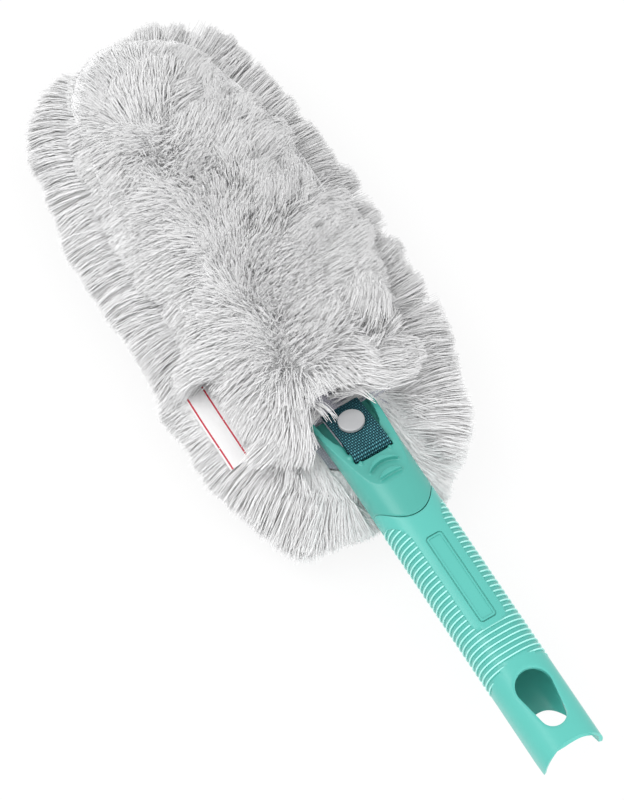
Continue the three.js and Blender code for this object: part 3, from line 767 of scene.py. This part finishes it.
def makeLabelFinish(s):
    material, tree, shader = newFinish("whiteSatin", Sheen_Weight=0.25, Sheen_Roughness=0.4)
    weave = placeGroup(tree, threadWeave, Vector=coordinates(tree, "UV", (46, 96, 1)), Under=0.75)
    off = splitAxes(tree, coordinates(tree, "UV"))[0]
    for step in (s["stripeMiddle"], s["stripeOut"]):
        off = sums(tree, "ABSOLUTE", sums(tree, "SUBTRACT", off, step))
    stripe = sums(tree, "LESS_THAN", off, s["stripeHalf"])
    white = twoColours(tree, weave["Over"], (0.74, 0.735, 0.74), (0.84, 0.835, 0.835))
    colour = twoColours(tree, stripe, white, (0.50, 0.02, 0.05))
    fill(tree, shader, Base_Color=colour, Roughness=ranged(tree, weave["Over"], 0.6, 0.42))
    roughen(tree, shader, weave["Height"], 0.00008, 0.5)
    return material


def labelDrop(out, s):  # height of the label at a distance out from its seam
    return s["rootZ"] - math.sin(s["tilt"]) * out - 0.0035 * out ** 2


def makeLabel(s):
    piece = grid("side_label_satin", 18, 36)
    flat = readPoints(piece)
    out = (1 - flat[:, 0]) / 2 * s["width"]
    y = s["near"] + (flat[:, 1] + 1) / 2 * s["length"]
    ripple = 0.35 * np.sin((y - s["near"]) * 0.16 + 0.6) * out / s["width"]
    shapeTo(piece, s["rootX"] - math.cos(s["tilt"]) * out, y, labelDrop(out, s) + ripple)
    thicken(piece, s["thick"], 50)
    return piece


label = makeLabel(labelSet)
dress(label, makeLabelFinish(labelSet), "cover", "label_satin", "side_label")
print("label done")

# Pile: one yarn end is modelled, then laid along thousands of combed paths
yarnSet = dict(width=0.37, tip=0.8, seed=11, coreY=(235, 350), coreZ=-90.0, form=5.0)
clearSet = dict(floor=0.5, neckHalf=15.7, neckSwell=1.3, neckGap=0.8, neckEnd=200, neckDeep=15,
                labelGap=1.0, labelOut=24, labelNear=201, labelFar=248, labelTop=38.5)


def makeYarnEnd(s):
    piece = add("yarn_end", bpy.ops.mesh.primitive_circle_add, vertices=3, radius=0.5, fill_type="NGON")
    editAll(piece)
    for length, size in ((0.5, 1.0), (0.25, 1.0), (0.25, s["tip"])):
        drawOut((0, 0, length))
        bpy.ops.transform.resize(value=(size, size, 1))
    mode("OBJECT")
    facesOut(piece)
    points = readPoints(piece)
    faces = [list(face.vertices) for face in piece.data.polygons]
    bpy.data.objects.remove(piece)
    return points, faces


yarnPoints, yarnFaces = makeYarnEnd(yarnSet)
chance = np.random.default_rng(yarnSet["seed"])


def evenSpread(count, offset):  # points in the unit square with even spacing
    k = np.arange(count) + offset
    return (0.5 + k * 0.7548776662) % 1, (0.5 + k * 0.5698402910) % 1


def unit(v, least=0.0):
    return v / (np.linalg.norm(v, axis=-1)[..., None] + least)


def keepClear(p, s=clearSet):  # yarn lies on the floor, beside the neck and under the label
    x, y, z = p[:, 0], p[:, 1], np.maximum(p[:, 2], s["floor"])
    half = s["neckHalf"] + s["neckSwell"] * smooth(*coverSet["neckTaper"], y) + s["neckGap"]
    byNeck = (np.abs(x) < half) & (y < s["neckEnd"]) & (z > handleZ - s["neckDeep"]) & (z < faceHeight(y) + 1)
    x = np.where(byNeck, np.where(x < 0, -half, half), x)
    out = labelSet["rootX"] - x
    under = labelDrop(np.clip(out, 0, s["labelOut"]), labelSet) - s["labelGap"]
    byLabel = (out > -1) & (out < s["labelOut"]) & (y > s["labelNear"]) & (y < s["labelFar"]) & (z < s["labelTop"])
    return np.stack([x, y, np.where(byLabel, np.minimum(z, under), z)], 1)


def combPaths(roots, aims, lengths, droop, wander):
    count, wander = len(roots), np.reshape(wander, (-1, 1))
    path = np.empty((count, 5, 3))
    path[:, 0] = roots
    heading = unit(aims)
    drift = chance.normal(0, 1, (count, 3)) * wander
    for k in range(4):
        heading = heading + drift * 0.5 + chance.normal(0, 1, (count, 3)) * wander * 0.35
        heading[:, 2] -= droop * (k + 1) * 0.25
        heading = unit(heading)
        path[:, k + 1] = keepClear(path[:, k] + heading * (lengths / 4)[:, None])
    return path


def gatherLocks(path, spacing, pull):  # neighbouring strands run together towards their tips
    leaders = chance.permutation(len(path))[: max(1, int(len(path) / spacing))]
    tree = KDTree(len(leaders))
    for k, leader in enumerate(leaders):
        tree.insert(path[leader, 0], k)
    tree.balance()
    mine = leaders[[tree.find(p)[1] for p in path[:, 0]]]
    offset, pull = path[:, 0] - path[mine, 0], np.reshape(pull, (-1, 1))
    for k in range(1, 5):
        target = path[mine, k] + offset * 0.3
        path[:, k] = keepClear(path[:, k] + (target - path[:, k]) * (pull * (k / 4) ** 1.3))
    return path


def spinYarn(name, path, stands):
    count = len(path)
    tangent = unit(np.gradient(path, axis=1), 1e-9)
    guide = np.where(np.abs(tangent[..., 2:3]) > 0.9, (1.0, 0, 0), (0, 0, 1.0))
    side = unit(np.cross(guide, tangent), 1e-9)
    top = np.cross(tangent, side)
    step = np.rint(yarnPoints[:, 2] * 4).astype(int)
    width = (yarnSet["width"] * chance.uniform(0.75, 1.2, count))[:, None, None]
    ring = yarnPoints[:, 0:1] * side[:, step] + yarnPoints[:, 1:2] * top[:, step]
    points = path[:, step] + width * ring
    corners = np.concatenate([np.array(face) for face in yarnFaces])
    starts = np.concatenate([[0], np.cumsum([len(face) for face in yarnFaces])[:-1]])
    number = np.arange(count)[:, None]
    mesh = bpy.data.meshes.new(name)
    mesh.vertices.add(count * len(yarnPoints))
    mesh.vertices.foreach_set("co", toFrame(points).astype(np.float32).ravel())
    mesh.loops.add(count * len(corners))
    mesh.loops.foreach_set("vertex_index", (corners + number * len(yarnPoints)).astype(np.int32).ravel())
    mesh.polygons.add(count * len(starts))
    mesh.polygons.foreach_set("loop_start", (starts + number * len(corners)).astype(np.int32).ravel())
    mesh.update(calc_edges=True)
    mesh.polygons.foreach_set("use_smooth", np.ones(count * len(starts), bool))
    face = points.copy()  # strands take most of their shading from the whole pile's form
    face[..., 1] -= np.clip(face[..., 1], *yarnSet["coreY"])
    face[..., 2] -= yarnSet["coreZ"]
    face = unit(yarnSet["form"] * unit(face) + ring)
    mesh.normals_split_custom_set_from_vertices(face.reshape(-1, 3).astype(np.float32))
    layer = mesh.uv_layers.new(name="strand")
    tone = np.repeat(chance.uniform(0, 1, count), len(corners))
    along = np.tile(yarnPoints[corners, 2], count)
    layer.data.foreach_set("uv", np.stack([tone, along], 1).astype(np.float32).ravel())
    dress(bring(name, mesh), whiteYarn, "cover", "pile", *stands)
    print(name, count, "yarn ends")


def makeYarnFinish():
    material, tree, shader = newFinish("whiteYarn", Sheen_Weight=0.3, Sheen_Roughness=0.5, Roughness=0.7)
    source = newNode(tree, "UVMap")
    source.uv_map = "strand"
    strand = splitAxes(tree, source.outputs["UV"])
    shade = twoColours(tree, strand[0], (0.95, 0.95, 0.955), (0.975, 0.975, 0.975))
    fill(tree, shader, Base_Color=twoColours(tree, strand[1], (0.965, 0.965, 0.97), shade))
    return material


whiteYarn = makeYarnFinish()
downyPile = wovenFinish(
    "downyPile", (700, 700, 700), (0.86, 0.86, 0.87), (0.93, 0.93, 0.93), (0.95, 0.85), 0.0006, 0.6, "Object", 0.4)

frontSet = dict(count=44000, whorl=(-6.0, 226.0), spineEnd=(-4.0, 372.0), rootZ=35.4, inset=0.25, insetFrom=(236, 272),
                liftIn=66, liftOut=50, lengthIn=43.0, lengthLeft=35.0, lengthRight=32.5, farCut=0.18,
                droopIn=0.5, droopOut=0.72, cross=12.0, parting=9, besideNeck=18.4, besideLabel=-49,
                thinned=(10, 208, 0.2), cropped=(17, 210, 0.3))
edgeSet = dict(count=28000, rootSize=(38.3, 118.5), length=32.0, droop=0.34, liftLow=-22, liftHigh=16,
               addBase=1.6, addRight=1.6, addCorner=17.0, lessFar=14.0, nearLeft=39.0, nearRight=9.0)
backSet = dict(count=9000, length=33.0, spine=(230, 355), liftIn=-74, liftGain=46)
mouthSet = dict(count=2000, length=25.0, inner=17.9, wide=10, deep=24)
paddleWay = dict(half=31.2, far=199, under=29.3, start=(18, 25))
looseLocks = (((-10, 213), (-5, 194.5)), ((-13, 212), (-8.5, 197)), ((4, 214), (15.2, 192.5)))


def lobeWave(x, y, s=coverSet):  # slow lumps along the rim, as a length share and a sideways lean
    angle = np.arctan2(x / s["half"], (y - s["middle"]) / s["reach"])
    return [wave(9 * angle + 0.6) + 0.6 * wave(17 * angle + 2.1) for wave in (np.sin, np.cos)]


def rightShare(x):  # the pile is looser on its right
    return smooth(-12, 22, x)


def aimAt(turn, lift):
    return np.stack([np.cos(turn) * np.cos(lift), np.sin(turn) * np.cos(lift), np.sin(lift)], 1)


def sow(count, offset, near):  # even spots, and which of them lie on the cloth
    a, b = evenSpread(count, offset)
    x, y = (2 * a - 1) * coverSet["half"], near + 1 + b * (coverSet["far"] - near - 2)
    return x, y, np.abs(x) < clothHalf(y)


def frontPaths(s):
    x, y, kept = sow(int(s["count"] * 1.4), 3, coverSet["mouth"])
    half, last, share = s["thinned"]  # by the strap's end the yarn is thin and short
    kept &= ~((np.abs(x) < half) & (y < last) & (chance.uniform(0, 1, len(x)) > share))
    x, y = x[kept][: s["count"]], y[kept][: s["count"]]
    count = len(x)
    start, end = np.array(s["whorl"]), np.array(s["spineEnd"])
    run = end - start
    t = np.clip(((x - start[0]) * run[0] + (y - start[1]) * run[1]) / (run @ run), 0, 1)
    away = np.stack([x - start[0] - t * run[0], y - start[1] - t * run[1]], 1)
    far = np.linalg.norm(away, axis=1)
    rim = np.maximum(rimShare(x, y), smooth(240, 198, y) * 0.9)
    wave, slope = lobeWave(x, y)
    right = rightShare(x)
    turn = np.arctan2(away[:, 1], away[:, 0]) - 0.16 * slope * rim + chance.normal(0, 0.14 + 0.12 * right, count)
    turn += chance.normal(0, 1.3, count) * np.exp(-(far / s["cross"]) ** 2)  # strands cross over the parting
    lift = s["liftIn"] + (s["liftOut"] - s["liftIn"]) * rim ** 1.3 + 8 * right * rim
    lift = np.radians(lift + chance.normal(0, 6, count))
    outer = s["lengthLeft"] + (s["lengthRight"] - s["lengthLeft"]) * right
    lengths = s["lengthIn"] + (outer * (1 - s["farCut"] * smooth(350, 405, y)) - s["lengthIn"]) * rim
    lengths = lengths * (1 + 0.05 * wave * rim) * chance.normal(1, 0.045, count)
    half, last, share = s["cropped"]
    lengths = np.where((np.abs(x) < half) & (y < last), lengths * share, lengths)
    droop = (s["droopIn"] + (s["droopOut"] - s["droopIn"]) * rim) * (1 - 0.5 * right)
    parting = np.exp(-(far / s["parting"]) ** 2)  # strands stand up along the parting
    lift, droop, lengths = lift + parting * 0.17, droop * (1 - 0.6 * parting), lengths * (1 - 0.14 * parting)
    inset = s["inset"] * smooth(*s["insetFrom"], y)  # set in on the left, but not by the label
    roots = np.stack([x * (1 - inset * (x < 0)), y, np.full(count, s["rootZ"])], 1)
    lengths = lengths * (1 - inset * smooth(0, -34, x))
    wander = 0.08 + 0.04 * right + 0.08 * (chance.uniform(0, 1, count) > 0.94)
    path = combPaths(roots, aimAt(turn, lift), lengths, droop, wander)
    for spacing, pull, more in ((750, 0.2, 0.22), (210, 0.3, 0.2), (22, 0.14, 0.2)):
        path = gatherLocks(path, spacing, pull + more * right)
    px, py = path[:, 2:, 0], path[:, 2:, 1]
    onNeck = ((np.abs(px) < s["besideNeck"]) & (py < 200)).any(1)
    onLabel = ((px < s["besideLabel"]) & (py > 201) & (py < 244)).any(1)
    keep = ~(onNeck | onLabel)
    return path[keep], rim[keep]


def mouthPaths(s):  # yarn on the back panel beside the neck
    a, b = evenSpread(s["count"], 29)
    side = np.where(np.arange(s["count"]) % 2, 1.0, -1.0)
    x, y = side * (s["inner"] + s["wide"] * a), coverSet["near"] + 2 + s["deep"] * b
    turn = np.arctan2(-1.0, side * (0.1 + 0.8 * a)) + chance.normal(0, 0.2, len(x))
    lift = np.radians(24 + chance.normal(0, 9, len(x)))
    roots = np.stack([x, y, backTop(y) + 0.2], 1)
    kept = np.abs(x) < clothHalf(y) + 0.5
    lengths = s["length"] * chance.normal(1, 0.08, len(x))
    return gatherLocks(combPaths(roots, aimAt(turn, lift), lengths, 0.3, 0.09)[kept], 14, 0.35)


def underPaddle(path, s):  # beside the neck the yarn stays below the way of the paddle
    z, start = path[..., 2], chance.uniform(*s["start"], (len(path), 1))
    over, room = np.maximum(z - start, 0), s["under"] - start
    beside = (np.abs(path[..., 0]) < s["half"]) & (path[..., 1] < s["far"]) & (over > 0)
    path[..., 2] = np.where(beside, start + room * (1 - np.exp(-over / room)), z)
    return path


def loosePaths(locks, each=10):  # a few locks that have fallen over the strap's end and the neck
    paths = []
    for (x0, y0), (x1, y1) in locks:
        top = max(float(faceHeight(y1)), strapSpot(0, (y1 - barY) / math.cos(strapTilt), 3.7)[2] * 1000) + 0.5
        start = np.array((x0, y0, frontSet["rootZ"])) + chance.normal(0, 1.1, (each, 3)) * (1, 1, 0)
        end = np.array((x1, y1, top)) + chance.normal(0, 0.9, (each, 3)) * (1, 1.6, 0.15)
        bow = (start + end) / 2 + np.array((0, 1, 13)) + chance.normal(0, 0.8, (each, 3))
        t = np.linspace(0, 1, 5)[None, :, None]
        paths.append((1 - t) ** 2 * start[:, None] + 2 * t * (1 - t) * bow[:, None] + t * t * end[:, None])
    return np.concatenate(paths)


def rimGain(nx, ny, s):  # the head is fuller on its right and beside the handle, and blunt at its far end
    left, right = np.maximum(0, -nx), np.maximum(0, nx)
    beside = np.maximum(0, -ny) * (s["nearLeft"] * left ** 3 + s["nearRight"] * right)
    beyond = np.maximum(0, ny) * (s["addCorner"] * (left + right ** 2) - s["lessFar"])
    return s["addBase"] + s["addRight"] * nx + beside + beyond


def edgePaths(s):
    a, b = evenSpread(s["count"], 7)
    ends = np.stack(oval(2 * np.pi * a, coverSet["power"]), 1)
    x, y = (ends * s["rootSize"] + (0, coverSet["middle"])).T
    low, high = backTop(y) - 1.2, np.where(y > 214, coverSet["frontZ"], backTop(y) + 0.2)
    z = low + (high - low) * b
    normal = unit(np.sign(ends) * np.abs(ends) ** 1.6 / s["rootSize"])
    wave, slope = lobeWave(x, y)
    right = rightShare(x)
    turn = np.arctan2(normal[:, 1], normal[:, 0]) - 0.14 * slope + chance.normal(0, 0.12, len(x))
    lift = np.radians(s["liftLow"] + (s["liftHigh"] - s["liftLow"]) * b + 14 * right + chance.normal(0, 5, len(x)))
    lengths = s["length"] + rimGain(normal[:, 0], normal[:, 1], s)
    lengths = lengths * (1 + 0.035 * wave) * chance.normal(1, 0.045, len(x))
    droop = s["droop"] - 0.16 * right
    path = combPaths(np.stack([x, y, z], 1), aimAt(turn, lift), lengths, droop, 0.07 + 0.03 * right)
    path = gatherLocks(path, 150, 0.3 + 0.15 * right)
    return gatherLocks(path, 20, 0.16 + 0.18 * right)


def backPaths(s):
    x, y, kept = sow(int(s["count"] * 1.35), 13, coverSet["near"])
    x, y = x[kept][: s["count"]], y[kept][: s["count"]]
    turn = np.arctan2(y - np.clip(y, *s["spine"]), x) + chance.normal(0, 0.35, len(x))
    lift = np.radians(s["liftIn"] + s["liftGain"] * rimShare(x, y) ** 1.5 + chance.normal(0, 8, len(x)))
    roots = np.stack([x, y, backTop(y) - 1.5], 1)
    lengths = s["length"] * chance.normal(1, 0.05, len(x))
    return gatherLocks(combPaths(roots, aimAt(turn, lift), lengths, 0.12, 0.08), 14, 0.45)


def makePileCore(s):  # the dense lower part of the pile, as one soft body inside the yarn's tips
    clearSelection()
    for name in s["rows"]:
        part = nodes[name].copy()
        part.data = nodes[name].data.copy()
        scene.collection.objects.link(part)
        part.hide_set(False)
        part.select_set(True)
        bpy.context.view_layer.objects.active = part
    bpy.ops.object.join()
    piece = named("pile_core")
    editAll(piece)
    bpy.ops.mesh.remove_doubles(threshold=1e-6)
    mode("OBJECT")
    remould(piece, s["grain"], 10)
    finishWith(piece, "DISPLACE", strength=-s["depth"], mid_level=0.0)
    tufts = bpy.data.textures.new("tufts", "CLOUDS")
    tufts.noise_scale = s["tuft"]
    finishWith(piece, "DISPLACE", texture=tufts, texture_coords="LOCAL", strength=s["lump"], mid_level=0.5)
    finishWith(piece, "SMOOTH", factor=0.5, iterations=2)
    middle = np.array((0, s["middle"], 0))
    points = middle + (readPoints(piece) - middle) * s["shrink"]
    x, y, z = points.T
    beside = (np.abs(x) < s["beside"]) & (y < s["mouth"])
    z = np.where(beside, np.minimum(z, s["low"]), z)  # below the way of the paddle
    inset = s["inset"] * smooth(*s["insetY"], y) * smooth(*s["insetZ"], z)  # set in on the left, like the yarn
    writePoints(piece, np.stack([x * (1 - inset * (x < 0)), y, z], 1))
    pick(piece)
    bpy.ops.object.shade_smooth()
    dress(piece, downyPile, "cover", "pile")
    print("pile core:", len(piece.data.polygons), "faces")


coreSet = dict(rows=("crown_pile", "front_pile", "edge_pile", "back_pile"), grain=0.0022, depth=0.0082,
               tuft=0.009, lump=0.0045, middle=0.072, shrink=(0.92, 0.97, 1.0), beside=0.034, mouth=-0.018, low=0.0178,
               inset=0.27, insetY=(0.016, 0.052), insetZ=(0.022, 0.034))
makePileCore(coreSet)


def layRow(name, path, node, middle=292):  # one row of the pile, in quarters
    right, far = path[:, 0, 0] > 0, path[:, 0, 1] > middle
    for title, part in (("left", ~right & ~far), ("right", right & ~far),
                        ("far_left", ~right & far), ("far_right", right & far)):
        spinYarn(name + "_" + title, path[part], [node] if title == "left" else [])


frontPath, frontRim = frontPaths(frontSet)
inner = frontRim < 0.55
layRow("crown_pile_yarn", frontPath[inner], "crown_pile")
layRow("front_pile_yarn", np.concatenate([frontPath[~inner], loosePaths(looseLocks)]), "front_pile")
lowPath = np.concatenate([edgePaths(edgeSet), mouthPaths(mouthSet)])
layRow("edge_pile_yarn", underPaddle(lowPath, paddleWay), "edge_pile")
layRow("back_pile_yarn", backPaths(backSet), "back_pile")
print("pile done")

# Floor, light and background
studioSet = dict(floor=3.0, sky=0.95, white=0.88, lampSize=1.0,
                 lamps=(("keyLight", 8.4, -0.9, 0.25, 1.0), ("fillLight", 4.3, 0.42, -0.75, 0.6)))


def seenDirectly(tree):  # camera, mirror and glass rays
    path = newNode(tree, "LightPath")
    first = sums(tree, "MAXIMUM", path.outputs["Is Camera Ray"], path.outputs["Is Glossy Ray"])
    return sums(tree, "MAXIMUM", first, path.outputs["Is Transmission Ray"])


def showMixed(tree, factor, first, second, target):
    mix = newNode(tree, "MixShader")
    for socket, source in zip(mix.inputs, (factor, first.outputs[0], second.outputs[0])):
        wire(tree, source, socket)
    wire(tree, mix.outputs[0], tree.nodes[target].inputs["Surface"])


def makeStudio(s):
    floor = add("floor", bpy.ops.mesh.primitive_plane_add, size=s["floor"], location=(0, 0, -0.0005))
    material, tree, shader = newFinish("paleFloor", Base_Color=(0.9, 0.9, 0.9, 1), Roughness=0.9)
    whitened = sums(tree, "MULTIPLY", seenDirectly(tree), s["white"])
    showMixed(tree, whitened, shader, newNode(tree, "Emission"), "Material Output")
    paint(floor, material)
    world = bpy.data.worlds.new("studio")
    world.use_nodes = True
    scene.world = world
    tree = world.node_tree
    light = fill(tree, tree.nodes["Background"], Color=(1, 1, 1, 1), Strength=s["sky"])
    white = newNode(tree, "Background", Color=(1, 1, 1, 1))
    showMixed(tree, seenDirectly(tree), light, white, "World Output")
    middle = Vector((0, 0, 0.03))
    for name, power, across, back, rise in s["lamps"]:
        place = viewRight * across + viewUp * back + Vector((0, 0, rise))
        lamp = bpy.data.lights.new(name, "AREA")
        lamp.energy = power
        lamp.size = s["lampSize"]
        holder = bring(name, lamp)
        holder.location = middle + place
        holder.rotation_euler = (-place).to_track_quat("-Z", "Y").to_euler()


makeStudio(studioSet)
scene.view_settings.view_transform = "Standard"
print("studio done")
